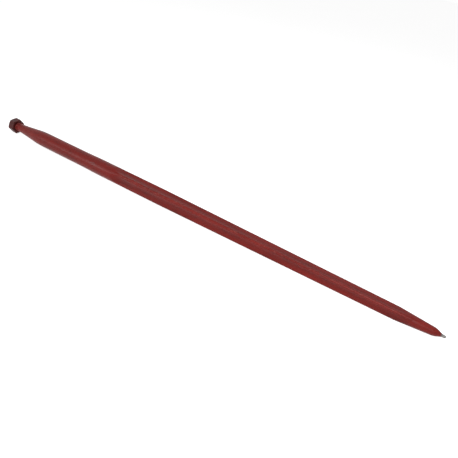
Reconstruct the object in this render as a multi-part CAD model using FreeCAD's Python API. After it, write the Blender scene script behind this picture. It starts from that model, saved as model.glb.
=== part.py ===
import FreeCAD, Part
import math
import os

# Bale spear: a forged tine with a threaded stud, a taper seat, a round shank and
# four flutes that run out at a blunt point, and the hex nut that draws the taper
# seat into its bushing.
#
# Lengths are in millimetres and angles in degrees. Each piece is drawn along +X,
# with x = 0 at the stud's free end, and both are then laid down on the ground as
# the spear comes to rest.

# ---- Driving dimensions ----

spear_length = 1245.0

# Threaded stud. Its fine thread is left off, so it stands at the thread's root.
thread_major_diameter = 24.0
thread_depth = 0.92
thread_length = 35.0
thread_runout_length = 1.5
stud_end_chamfer = 1.6

# Plain neck and taper seat.
neck_diameter = 24.0
neck_length = 10.5
neck_blend_length = 9.0
seat_length = 75.5
seat_blend_length = 14.0

# Round shank, and the slightly thicker collar that the flutes start from.
shank_diameter = 40.0
shank_length = 170.0
swell_length = 42.0
swell_blend_length = 12.0
collar_diameter = 42.0
collar_length = 60.0

# Fluted shaft. Its diameters are taken over two opposite ridges.
flute_count = 4
ridge_round_radius = 4.6
ridge_round_angle = 72.0
flute_run_in_length = 34.0
parallel_flute_length = 118.0
taper_end_diameter = 29.9

# Point, with the small nib that the forging ends in.
point_length = 97.0
flute_run_out_lead = 12.0
flute_run_out_length = 52.0
nose_diameter = 17.6
nose_length = 13.0
nose_blend_length = 5.5
nib_diameter = 5.8
nib_length = 7.5
nib_foot_blend_length = 4.0
nib_end_blend_length = 2.4

# Hex nut.
nut_across_flats = 36.0
nut_height = 19.0
nut_face_diameter = 34.0
nut_chamfer_angle = 30.0
nut_countersink_diameter = 25.4
nut_setback = 6.0
nut_turn = 8.0
thread_clearance = 0.1

# How far one ridge is turned from straight up, as the spear lies.
rest_roll = 45.0

# ---- Radii and stations that follow from them ----

thread_root_radius = thread_major_diameter / 2 - thread_depth
neck_radius = neck_diameter / 2
shank_radius = shank_diameter / 2
collar_radius = collar_diameter / 2
taper_end_radius = taper_end_diameter / 2
nose_radius = nose_diameter / 2
nib_radius = nib_diameter / 2

neck_start = thread_length + thread_runout_length
seat_start = neck_start + neck_length
seat_end = seat_start + seat_length
swell_start = seat_end + shank_length
swell_end = swell_start + swell_length
flute_start = swell_end + collar_length
flute_full = flute_start + flute_run_in_length
taper_start = flute_full + parallel_flute_length
point_start = spear_length - point_length
run_out_start = point_start - flute_run_out_lead
run_out_end = run_out_start + flute_run_out_length
nib_start = spear_length - nib_length
nose_start = nib_start - nose_length

# The part of the round shaft that turns into a ridge, to each side of its middle.
RIDGE_LAND_ANGLE = 18.0
RUN_IN_STEPS = 8
RUN_OUT_STEPS = 10
STRAIGHT_WITHIN = 0.001

ORIGIN = FreeCAD.Vector(0, 0, 0)
X_AXIS = FreeCAD.Vector(1, 0, 0)
Y_AXIS = FreeCAD.Vector(0, 1, 0)


def turned(outline):
    """A solid turned about the spear's axis from rows of station, radius and blend.

    A blend is how far from its corner a tangent arc leaves both sides. The outline
    is closed by a line from its last corner to its first.
    """
    corners = [FreeCAD.Vector(station, 0, radius) for station, radius, blend in outline]
    edges = []
    last = corners[0]
    for number in range(1, len(corners)):
        corner = corners[number]
        blend = outline[number][2]
        if blend == 0:
            edges.append(Part.makeLine(last, corner))
            last = corner
            continue
        back = (corners[number - 1] - corner).normalize()
        ahead = (corners[number + 1] - corner).normalize()
        half_angle = back.getAngle(ahead) / 2
        rise = blend * (1 / math.cos(half_angle) - math.tan(half_angle))
        start = corner + back * blend
        middle = corner + (back + ahead).normalize() * rise
        end = corner + ahead * blend
        edges.append(Part.makeLine(last, start))
        edges.append(Part.Arc(start, middle, end).toShape())
        last = end
    edges.append(Part.makeLine(last, corners[0]))
    return Part.Face(Part.Wire(edges)).revolve(ORIGIN, X_AXIS, 360)


def base_forging():
    """Stud, neck, taper seat, round shank and collar, up to where the flutes start."""
    return turned([
        (0, 0, 0),
        (0, thread_root_radius - stud_end_chamfer, 0),
        (stud_end_chamfer, thread_root_radius, 0),
        (thread_length, thread_root_radius, 0),
        (neck_start, neck_radius, 0),
        (seat_start, neck_radius, neck_blend_length),
        (seat_end, shank_radius, seat_blend_length),
        (swell_start, shank_radius, swell_blend_length),
        (swell_end, collar_radius, swell_blend_length),
        (flute_start, collar_radius, 0),
        (flute_start, 0, 0),
    ])


def ridge_radius(station):
    """Radius over the ridges: parallel, then a long taper, then the point's cone."""
    if station <= taper_start:
        return collar_radius
    if station <= point_start:
        share = (station - taper_start) / (point_start - taper_start)
        return collar_radius + share * (taper_end_radius - collar_radius)
    share = (station - point_start) / (nose_start - point_start)
    return taper_end_radius + share * (nose_radius - taper_end_radius)


def arc_through(start, middle, end):
    """The arc through three points, or a line where they are in line."""
    if middle.distanceToLine(start, end - start) < STRAIGHT_WITHIN:
        return Part.makeLine(start, end)
    return Part.Arc(start, middle, end).toShape()


def fluted_section(station, depth_share):
    """Closed outline across the shaft: rounded ridges joined by tangent flute arcs.

    A depth share of 1 is the full flute and 0 is the plain circle, where a ridge is
    rounded as widely as the shaft itself. The outline keeps its form on the taper.
    """
    ridge = ridge_radius(station)
    full_round = ridge_round_radius * ridge / collar_radius
    ridge_round = 1 / ((1 - depth_share) / ridge + depth_share / full_round)
    round_angle = RIDGE_LAND_ANGLE + depth_share * (ridge_round_angle - RIDGE_LAND_ANGLE)
    pitch = 360.0 / flute_count
    half_pitch = math.radians(pitch / 2)

    # Where the ridge's round meets the flute, sideways and up from the axis.
    edge_side = ridge_round * math.sin(math.radians(round_angle))
    edge_up = ridge - ridge_round + ridge_round * math.cos(math.radians(round_angle))

    # The flute's arc takes back what both ridges have turned past their half pitch.
    half_chord = edge_up * math.sin(half_pitch) - edge_side * math.cos(half_pitch)
    chord_radius = edge_side * math.sin(half_pitch) + edge_up * math.cos(half_pitch)
    turned_back = math.radians(round_angle) - half_pitch
    floor_radius = chord_radius - half_chord * math.tan(turned_back / 2)

    def place(side, up, degrees):
        sine = math.sin(math.radians(degrees))
        cosine = math.cos(math.radians(degrees))
        return FreeCAD.Vector(station, side * cosine - up * sine, side * sine + up * cosine)

    edges = []
    for number in range(flute_count):
        middle = number * pitch
        ridge_in = place(edge_side, edge_up, middle)
        ridge_top = place(0, ridge, middle)
        ridge_out = place(-edge_side, edge_up, middle)
        flute_floor = place(0, floor_radius, middle + pitch / 2)
        next_ridge_in = place(edge_side, edge_up, middle + pitch)
        edges.append(arc_through(ridge_in, ridge_top, ridge_out))
        edges.append(arc_through(ridge_out, flute_floor, next_ridge_in))
    return Part.Wire(edges)


def eased(share):
    """Rises from 0 to 1 and is level at both ends."""
    return share * share * (3 - 2 * share)


def flute_run_in():
    """The flutes sinking from the round collar to their full depth."""
    sections = []
    for step in range(RUN_IN_STEPS + 1):
        share = step / RUN_IN_STEPS
        station = flute_start + share * flute_run_in_length
        sections.append(fluted_section(station, eased(share)))
    return Part.makeLoft(sections, True, False)


def full_flutes(start, end):
    """A straight-sided stretch of the shaft at full flute depth."""
    return Part.makeLoft([fluted_section(start, 1), fluted_section(end, 1)], True, True)


def flute_run_out():
    """The flutes rising to the surface across the shoulder of the point."""
    sections = []
    for step in range(RUN_OUT_STEPS + 1):
        share = step / RUN_OUT_STEPS
        station = run_out_start + share * flute_run_out_length
        sections.append(fluted_section(station, 1 - eased(share)))
    return Part.makeLoft(sections, True, False)


def round_point():
    """The round point and its nib, from where the flutes have run out."""
    return turned([
        (run_out_end, 0, 0),
        (run_out_end, ridge_radius(run_out_end), 0),
        (nose_start, nose_radius, nose_blend_length),
        (nib_start, nib_radius, nib_foot_blend_length),
        (spear_length, nib_radius, nib_end_blend_length),
        (spear_length, 0, 0),
    ])


def spear():
    """The whole forging as one solid."""
    stretches = [
        flute_run_in(),
        full_flutes(flute_full, taper_start),
        full_flutes(taper_start, run_out_start),
        flute_run_out(),
        round_point(),
    ]
    return base_forging().multiFuse(stretches).removeSplitter()


def retaining_nut():
    """Hex nut with both faces chamfered and its bore countersunk at both ends."""
    corner_radius = nut_across_flats / 2 / math.cos(math.radians(30))
    face_radius = nut_face_diameter / 2
    bore_radius = thread_root_radius + thread_clearance
    countersink_radius = nut_countersink_diameter / 2
    countersink_depth = countersink_radius - bore_radius
    outer_face = nut_setback
    inner_face = nut_setback + nut_height

    hexagon = []
    for number in range(7):
        angle = math.radians(60 * number + nut_turn)
        across = FreeCAD.Vector(0, math.sin(angle), math.cos(angle)) * corner_radius
        hexagon.append(X_AXIS * outer_face + across)
    prism = Part.Face(Part.makePolygon(hexagon)).extrude(X_AXIS * nut_height)

    clear_radius = 2 * corner_radius - face_radius
    chamfer_depth = (clear_radius - face_radius) * math.tan(math.radians(nut_chamfer_angle))
    blank = turned([
        (outer_face, countersink_radius, 0),
        (outer_face, face_radius, 0),
        (outer_face + chamfer_depth, clear_radius, 0),
        (inner_face - chamfer_depth, clear_radius, 0),
        (inner_face, face_radius, 0),
        (inner_face, countersink_radius, 0),
        (inner_face - countersink_depth, bore_radius, 0),
        (outer_face + countersink_depth, bore_radius, 0),
    ])
    return prism.common(blank)


def rest_pitch():
    """How far the spear leans, resting on its collar and on the shoulder of its point."""
    leans = []
    for step in range(RUN_OUT_STEPS + 1):
        share = step / RUN_OUT_STEPS
        station = run_out_start + share * flute_run_out_length
        section = fluted_section(station, 1 - eased(share))
        section.rotate(ORIGIN, X_AXIS, rest_roll)
        drop = collar_radius + section.optimalBoundingBox(False, False).ZMin
        leans.append(math.degrees(math.atan2(drop, station - flute_start)))
    return min(leans)


def lay_down(pieces):
    """Rolls and leans the pieces as one, and sets them on the ground about the origin."""
    lean = rest_pitch()
    for piece in pieces:
        piece.rotate(ORIGIN, X_AXIS, rest_roll)
        piece.rotate(ORIGIN, Y_AXIS, lean)
    box = Part.makeCompound(pieces).optimalBoundingBox(False, False)
    onto_ground = FreeCAD.Vector(-box.Center.x, -box.Center.y, -box.ZMin)
    for piece in pieces:
        piece.translate(onto_ground)
    return onto_ground


nodes = {"spear": spear(), "retaining_nut": retaining_nut()}
shift = lay_down(list(nodes.values()))
os.makedirs("parts", exist_ok=True)
for name, shape in nodes.items():
    shape.exportStep("parts/" + name + ".step")
    print(name, "valid", shape.isValid(), "solids", len(shape.Solids), "volume", round(shape.Volume, 1))
print("lean", round(rest_pitch(), 4), "stud end at", [round(value, 3) for value in shift])
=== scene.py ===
import math

import bmesh
import bpy
from mathutils import Matrix, Vector


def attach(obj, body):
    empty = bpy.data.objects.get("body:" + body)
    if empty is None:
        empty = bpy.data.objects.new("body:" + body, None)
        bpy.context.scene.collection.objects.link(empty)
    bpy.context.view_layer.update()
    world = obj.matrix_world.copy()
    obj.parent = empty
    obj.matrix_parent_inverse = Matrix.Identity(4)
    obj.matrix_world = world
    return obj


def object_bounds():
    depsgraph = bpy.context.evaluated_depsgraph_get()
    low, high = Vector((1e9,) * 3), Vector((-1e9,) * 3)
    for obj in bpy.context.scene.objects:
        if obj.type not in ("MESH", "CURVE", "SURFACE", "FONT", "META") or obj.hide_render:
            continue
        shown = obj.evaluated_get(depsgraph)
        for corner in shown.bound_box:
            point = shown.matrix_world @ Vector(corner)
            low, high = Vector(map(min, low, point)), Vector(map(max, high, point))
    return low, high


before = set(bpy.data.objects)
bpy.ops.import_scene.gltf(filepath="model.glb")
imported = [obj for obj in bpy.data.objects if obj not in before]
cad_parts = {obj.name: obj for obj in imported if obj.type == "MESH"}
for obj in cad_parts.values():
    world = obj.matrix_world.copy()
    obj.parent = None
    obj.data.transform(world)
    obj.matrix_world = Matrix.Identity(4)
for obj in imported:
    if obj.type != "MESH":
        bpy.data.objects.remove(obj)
cad_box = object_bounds()

scene = bpy.context.scene
scene.view_settings.view_transform = "Standard"

# ---------------------------------------------------------------- the spear's axis
# Stations are metres along the spear from the stud's free end.

LEAN = math.radians(0.6537)
STUD_END = Vector((-0.622408, 0.0, 0.025511))
ALONG = Vector((math.cos(LEAN), 0.0, -math.sin(LEAN)))
UP_ACROSS = Vector((math.sin(LEAN), 0.0, math.cos(LEAN)))
NEAR_ACROSS = Vector((0.0, -1.0, 0.0))

NUT_START, NUT_END = 0.006, 0.025
THREAD_END = 0.035
FLUTE_START, FLUTE_FULL = 0.3945, 0.4285
FLUTE_END = 1.165
NIB_START = 1.2375


def on_axis(station):
    return STUD_END + ALONG * station


def round_the_axis(station, distance, degrees):
    """A point beside the axis, at an angle from straight up towards the viewer."""
    angle = math.radians(degrees)
    across = UP_ACROSS * math.cos(angle) + NEAR_ACROSS * math.sin(angle)
    return on_axis(station) + across * distance


# ---------------------------------------------------------------- stud thread

PITCH = 0.0015
ROOT_RADIUS = 0.01108
CREST_RADIUS = 0.01194
SINK = 0.0004                       # how far a stretch's faded ends dip under the root
TOOTH_GAIN, TOOTH_DROP = 1.22, 0.06  # a triangle wave, cut flat at crest and root
AROUND, PER_PITCH = 72, 8           # faces round the stud, and rows to a turn of thread

FIRST_STATION, LEAD_IN = 0.0006, 0.0016
INTO_NUT, FADE_AT_NUT = 0.0006, 0.0003
PAST_END, RUN_OUT = 0.0008, 0.0022


def smooth(x):
    x = min(1.0, max(0.0, x))
    return x * x * (3 - 2 * x)


def thread_radius(station, turn, full):
    """The radius at a share of a turn, where full goes from 0 to 1 as the thread fades in."""
    phase = (station / PITCH - turn) % 1.0
    wave = 1 - abs(2 * phase - 1)
    tooth = min(1.0, max(0.0, TOOTH_GAIN * wave - TOOTH_DROP))
    return ROOT_RADIUS - SINK * (1 - full) + (CREST_RADIUS - ROOT_RADIUS) * tooth * full


def ring(bm, station, radius_at):
    """One ring of corners, with the radius given for each share of a turn."""
    turns = [k / AROUND for k in range(AROUND)]
    return [bm.verts.new(round_the_axis(station, radius_at(t), 360 * t)) for t in turns]


def band(bm, a, b):
    """The faces between two rings."""
    for k in range(AROUND):
        n = (k + 1) % AROUND
        bm.faces.new((a[k], a[n], b[n], b[k]))


def thread_stretch(bm, start, end, fade_in, fade_out):
    """A closed tube of thread between two stations, with its inner wall inside the stud."""
    rows = int(round((end - start) / PITCH * PER_PITCH))
    rings = []
    for i in range(rows + 1):
        station = start + (end - start) * i / rows
        full = smooth((station - start) / fade_in) * smooth((end - station) / fade_out)
        rings.append(ring(bm, station, lambda turn: thread_radius(station, turn, full)))
    first, last = [ring(bm, s, lambda turn: ROOT_RADIUS - 2 * SINK) for s in (start, end)]
    for a, b in zip(rings, rings[1:]):
        band(bm, a, b)
    band(bm, rings[0], first)
    band(bm, rings[-1], last)
    band(bm, first, last)


def stud_thread():
    """The fine thread on both sides of the nut, which the solid leaves plain."""
    bm = bmesh.new()
    thread_stretch(bm, FIRST_STATION, NUT_START + INTO_NUT, LEAD_IN, FADE_AT_NUT)
    thread_stretch(bm, NUT_END - INTO_NUT, THREAD_END + PAST_END, FADE_AT_NUT, RUN_OUT)
    bmesh.ops.recalc_face_normals(bm, faces=bm.faces)
    mesh = bpy.data.meshes.new("stud_thread")
    bm.to_mesh(mesh)
    bm.free()
    for face in mesh.polygons:
        face.use_smooth = True
    piece = bpy.data.objects.new("stud_thread", mesh)
    scene.collection.objects.link(piece)
    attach(piece, "root")
    return piece


# ---------------------------------------------------------------- node trees

class Nodes:
    """Short calls for the nodes of one material or of the world."""

    def __init__(self, owner):
        owner.use_nodes = True
        self.tree = owner.node_tree
        self.tree.nodes.clear()

    def add(self, kind, **settings):
        node = self.tree.nodes.new(kind)
        for key, value in settings.items():
            setattr(node, key, value)
        return node

    def link(self, source, target):
        self.tree.links.new(source, target)

    def math(self, operation, a, b=None):
        node = self.add("ShaderNodeMath", operation=operation)
        for socket, value in zip(node.inputs, (a, b)):
            if value is None:
                continue
            if isinstance(value, (int, float)):
                socket.default_value = value
            else:
                self.link(value, socket)
        return node.outputs[0]

    def plus(self, a, b):
        return self.math("ADD", a, b)

    def times(self, a, b):
        return self.math("MULTIPLY", a, b)

    def ramp(self, value, low, high, to_low=0.0, to_high=1.0):
        node = self.add("ShaderNodeMapRange", interpolation_type="SMOOTHSTEP")
        self.link(value, node.inputs["Value"])
        node.inputs["From Min"].default_value = low
        node.inputs["From Max"].default_value = high
        node.inputs["To Min"].default_value = to_low
        node.inputs["To Max"].default_value = to_high
        return node.outputs["Result"]

    def noise(self, place, scale, detail, roughness, shift=0.0, along=1.0):
        """Noise moved aside by shift, and drawn out along the spear where along is under 1."""
        mapping = self.add("ShaderNodeMapping")
        mapping.inputs["Scale"].default_value = (along, 1, 1)
        mapping.inputs["Location"].default_value = (shift, shift * 0.7, -shift)
        self.link(place, mapping.inputs["Vector"])
        node = self.add("ShaderNodeTexNoise")
        node.inputs["Scale"].default_value = scale
        node.inputs["Detail"].default_value = detail
        node.inputs["Roughness"].default_value = roughness
        self.link(mapping.outputs[0], node.inputs["Vector"])
        return node.outputs["Fac"]

    def mix_color(self, factor, a, b):
        node = self.add("ShaderNodeMix", data_type="RGBA")
        self.link(factor, node.inputs["Factor"])
        for name, value in (("A", a), ("B", b)):
            socket = [s for s in node.inputs if s.name == name and s.type == "RGBA"][0]
            if isinstance(value, tuple):
                socket.default_value = (*value, 1.0)
            else:
                self.link(value, socket)
        return [s for s in node.outputs if s.type == "RGBA"][0]

    def bump(self, height, strength, distance, normal=None):
        node = self.add("ShaderNodeBump")
        node.inputs["Strength"].default_value = strength
        node.inputs["Distance"].default_value = distance
        self.link(height, node.inputs["Height"])
        if normal is not None:
            self.link(normal, node.inputs["Normal"])
        return node.outputs["Normal"]

    def spear_place(self):
        """Coordinates along the spear's axis (x is the station) and across it."""
        place = self.add("ShaderNodeTexCoord").outputs["Object"]
        shift = self.add("ShaderNodeVectorMath", operation="SUBTRACT")
        self.link(place, shift.inputs[0])
        shift.inputs[1].default_value = STUD_END
        turn = self.add("ShaderNodeMapping")
        turn.inputs["Rotation"].default_value = (0.0, -LEAN, 0.0)
        self.link(shift.outputs[0], turn.inputs["Vector"])
        split = self.add("ShaderNodeSeparateXYZ")
        self.link(turn.outputs[0], split.inputs[0])
        return turn.outputs[0], split.outputs

    def seen(self):
        """1 for what is seen straight, mirrored or through something, and 0 for lighting."""
        path = self.add("ShaderNodeLightPath").outputs
        either = self.math("MAXIMUM", path["Is Camera Ray"], path["Is Glossy Ray"])
        return self.math("MAXIMUM", either, path["Is Transmission Ray"])


# ---------------------------------------------------------------- paint

# lighter red for the specks on the ridge crests: partly rubbed paint, partly painted highlight beads
RUB_AND_HIGHLIGHT_RED = (0.30, 0.085, 0.07)
CHIP_BROWN = (0.055, 0.026, 0.022)
STEEL_DARK, STEEL_LIGHT = (0.13, 0.12, 0.115), (0.27, 0.26, 0.25)

RIDGES = 4
FLUTE_FADE = 0.02               # the painted shade in the hollows and the rub and painted highlight on the ridges fade out over this either side
NIB_RAGGED = 0.006              # how far the paint's edge wanders at the nib
NIB_FADE_FROM, NIB_FADE_TO = NIB_START - 0.0045, NIB_START + 0.0005


def flute_shade_highlight_and_wear(n, colour, dark, specks, station, y, z):
    """Painted shade darkening the hollows, and lighter specks on the ridges: partly thin paint rubbed
    lighter, partly painted highlight beads.
    """
    around = n.math("ARCTAN2", z, y)
    ridge = n.times(n.math("COSINE", n.times(around, float(RIDGES))), -1.0)
    grown = n.ramp(station, FLUTE_START, FLUTE_FULL)
    fluted = n.times(grown, n.ramp(station, FLUTE_END - FLUTE_FADE, FLUTE_END + FLUTE_FADE, 1.0, 0.0))
    crest = n.times(n.ramp(ridge, 0.86, 0.99), fluted)
    hollow = n.times(n.ramp(ridge, 0.3, -0.7), fluted)
    rub_and_painted_highlight = n.times(crest, n.ramp(specks, 0.5, 0.72))
    # painted shade: the flute hollows are darkened towards the dark red
    colour = n.mix_color(n.times(hollow, 0.30), colour, dark)
    # lighter specks on the crests: partly rubbed paint, partly painted highlight
    return n.mix_color(n.times(rub_and_painted_highlight, 0.55), colour, RUB_AND_HIGHLIGHT_RED)


def bare_nib(n, shader, colour, mottle, grain, station):
    """Steel where the paint has gone from the nib, with a ragged edge."""
    edge = n.plus(station, n.times(n.math("SUBTRACT", mottle, 0.5), NIB_RAGGED))
    bare = n.ramp(edge, NIB_FADE_FROM, NIB_FADE_TO)
    steel = n.mix_color(n.ramp(grain, 0.35, 0.65), STEEL_DARK, STEEL_LIGHT)
    n.link(n.times(bare, 0.55), shader.inputs["Metallic"])
    return n.mix_color(bare, colour, steel)


def red_paint(name, bright, middle, dark, forging=False):
    """Mottled red enamel; the forging's also has painted shade in its flute hollows, lighter specks
    on its ridges that are partly wear and partly painted highlight, and is gone from its nib.
    """
    material = bpy.data.materials.new(name)
    n = Nodes(material)
    place, (station, y, z) = n.spear_place()

    mottle = n.noise(place, scale=34, detail=4, roughness=0.6, shift=3.0, along=0.42)
    streak = n.noise(place, scale=150, detail=3, roughness=0.55, shift=11.0, along=0.07)
    grain = n.noise(place, scale=420, detail=3, roughness=0.6, shift=5.0, along=0.5)
    peel = n.noise(place, scale=1500, detail=2, roughness=0.5, shift=7.0)
    forged = n.noise(place, scale=90, detail=5, roughness=0.62, shift=17.0, along=0.6)
    specks = n.noise(place, scale=260, detail=4, roughness=0.7, shift=23.0, along=0.35)

    tone = n.plus(n.plus(n.times(mottle, 0.5), n.times(streak, 0.3)), n.times(grain, 0.2))
    colour = n.mix_color(n.ramp(tone, 0.34, 0.52), dark, middle)
    colour = n.mix_color(n.ramp(tone, 0.50, 0.70), colour, bright)
    if forging:
        colour = flute_shade_highlight_and_wear(n, colour, dark, specks, station, y, z)
    colour = n.mix_color(n.times(n.ramp(specks, 0.70, 0.76), 0.6), colour, CHIP_BROWN)

    shader = n.add("ShaderNodeBsdfPrincipled")
    shader.inputs["IOR"].default_value = 1.5
    shader.inputs["Specular IOR Level"].default_value = 0.16
    if forging:
        colour = bare_nib(n, shader, colour, mottle, grain, station)
    n.link(colour, shader.inputs["Base Color"])
    sheen = n.plus(n.times(mottle, 0.6), n.times(peel, 0.4))
    n.link(n.ramp(sheen, 0.3, 0.7, 0.30, 0.46), shader.inputs["Roughness"])

    normal = n.bump(forged, strength=0.5, distance=0.0011)
    normal = n.bump(mottle, strength=0.55, distance=0.0016, normal=normal)
    normal = n.bump(peel, strength=0.35, distance=0.00012, normal=normal)
    n.link(normal, shader.inputs["Normal"])
    out = n.add("ShaderNodeOutputMaterial")
    n.link(shader.outputs[0], out.inputs["Surface"])
    return material


def dress(node, material):
    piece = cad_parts[node]
    piece.data.materials.clear()
    piece.data.materials.append(material)


spear_paint = red_paint(
    "red_enamel_on_forging",
    bright=(0.235, 0.020, 0.016),
    middle=(0.178, 0.0135, 0.0105),
    dark=(0.105, 0.009, 0.0075),
    forging=True,
)
# the nut's red is set at well under the forging's: partly darker paint, partly painted shade
nut_paint_and_shade = red_paint(
    "red_enamel_on_nut",
    bright=(0.120, 0.016, 0.014),
    middle=(0.075, 0.010, 0.009),
    dark=(0.040, 0.007, 0.006),
)
dress("spear", spear_paint)
dress("retaining_nut", nut_paint_and_shade)
stud_thread().data.materials.append(spear_paint)

# ---------------------------------------------------------------- floor and backdrop

FLOOR_REACH = 12.0
FLOOR_GAP = 0.0002
FLOOR_GREYS = (0.80, 0.80, 0.80), (0.83, 0.83, 0.83)
FLOOR_LIFT = 0.72               # added where the floor is seen, so that it shows white
FILL, BACKDROP = 0.30, 1.0
WHITE = (1.0, 1.0, 1.0, 1.0)


def floor_material():
    """Pale floor: lit and shadowed as usual, and lifted to white where it is seen."""
    material = bpy.data.materials.new("pale_floor")
    n = Nodes(material)
    diffuse = n.add("ShaderNodeBsdfDiffuse")
    place = n.add("ShaderNodeTexCoord").outputs["Object"]
    grey = n.mix_color(n.noise(place, scale=3, detail=2, roughness=0.55), *FLOOR_GREYS)
    n.link(grey, diffuse.inputs["Color"])
    glow = n.add("ShaderNodeEmission")
    n.link(n.times(n.seen(), FLOOR_LIFT), glow.inputs["Strength"])
    both = n.add("ShaderNodeAddShader")
    n.link(diffuse.outputs[0], both.inputs[0])
    n.link(glow.outputs[0], both.inputs[1])
    out = n.add("ShaderNodeOutputMaterial")
    n.link(both.outputs[0], out.inputs["Surface"])
    return material


def white_world():
    """A weak fill for lighting, and white wherever the backdrop itself is seen."""
    world = bpy.data.worlds.new("studio")
    n = Nodes(world)
    choose = n.add("ShaderNodeMixShader")
    n.link(n.seen(), choose.inputs[0])
    for socket, strength in zip(list(choose.inputs)[1:], (FILL, BACKDROP)):
        light = n.add("ShaderNodeBackground")
        light.inputs["Color"].default_value = WHITE
        light.inputs["Strength"].default_value = strength
        n.link(light.outputs[0], socket)
    out = n.add("ShaderNodeOutputWorld")
    n.link(choose.outputs[0], out.inputs[0])
    return world


corners = [(x * FLOOR_REACH, y * FLOOR_REACH, 0) for x, y in ((-1, -1), (1, -1), (1, 1), (-1, 1))]
floor_mesh = bpy.data.meshes.new("floor")
floor_mesh.from_pydata(corners, [], [(0, 1, 2, 3)])
floor_mesh.materials.append(floor_material())
floor = bpy.data.objects.new("floor", floor_mesh)
floor.location.z = cad_box[0].z - FLOOR_GAP
scene.collection.objects.link(floor)
scene.world = white_world()

# ---------------------------------------------------------------- lamps


def lamp(name, place, target, size, power):
    """A round lamp of a given width in metres and power in watts."""
    data = bpy.data.lights.new(name, "AREA")
    data.shape = "DISK"
    data.size = size
    data.energy = power
    light = bpy.data.objects.new(name, data)
    light.location = place
    light.rotation_mode = "QUATERNION"
    light.rotation_quaternion = (target - place).to_track_quat("-Z", "Y")
    scene.collection.objects.link(light)


lamp("key", round_the_axis(1.15, 1.5, 48), on_axis(0.95), size=0.30, power=13)
lamp("stud_side", round_the_axis(-0.76, 1.5, 66), on_axis(0.3), size=0.30, power=8)
lamp("overhead", round_the_axis(0.7, 2.2, -20), on_axis(0.7), size=1.6, power=9)

# ---------------------------------------------------------------- camera
# It stands beside the point end and looks at the axis further back, turned so that the
# spear runs down to the right across the frame.

CAMERA_STATION, CAMERA_DISTANCE, CAMERA_ANGLE = 1.105, 0.973, 53.4
AIM_STATION, AIM_LIFT = 0.7445, 0.0031
SLOPE = math.radians(26.19)
SENSOR, LENS = 36.0, 35.085
NEAREST, FARTHEST = 0.05, 60.0

camera_data = bpy.data.cameras.new("camera")
camera_data.sensor_width = SENSOR
camera_data.lens = LENS
camera_data.clip_start = NEAREST
camera_data.clip_end = FARTHEST
camera = bpy.data.objects.new("camera", camera_data)
eye = round_the_axis(CAMERA_STATION, CAMERA_DISTANCE, CAMERA_ANGLE)
away = (eye - on_axis(AIM_STATION)).normalized()
aim = on_axis(AIM_STATION) + away.cross(ALONG).normalized() * AIM_LIFT
back = (eye - aim).normalized()
level = (ALONG - back * ALONG.dot(back)).normalized()
right = level * math.cos(SLOPE) + back.cross(level) * math.sin(SLOPE)
turned = Matrix((right, back.cross(right), back)).transposed().to_4x4()
camera.matrix_world = Matrix.Translation(eye) @ turned
scene.collection.objects.link(camera)
scene.camera = camera
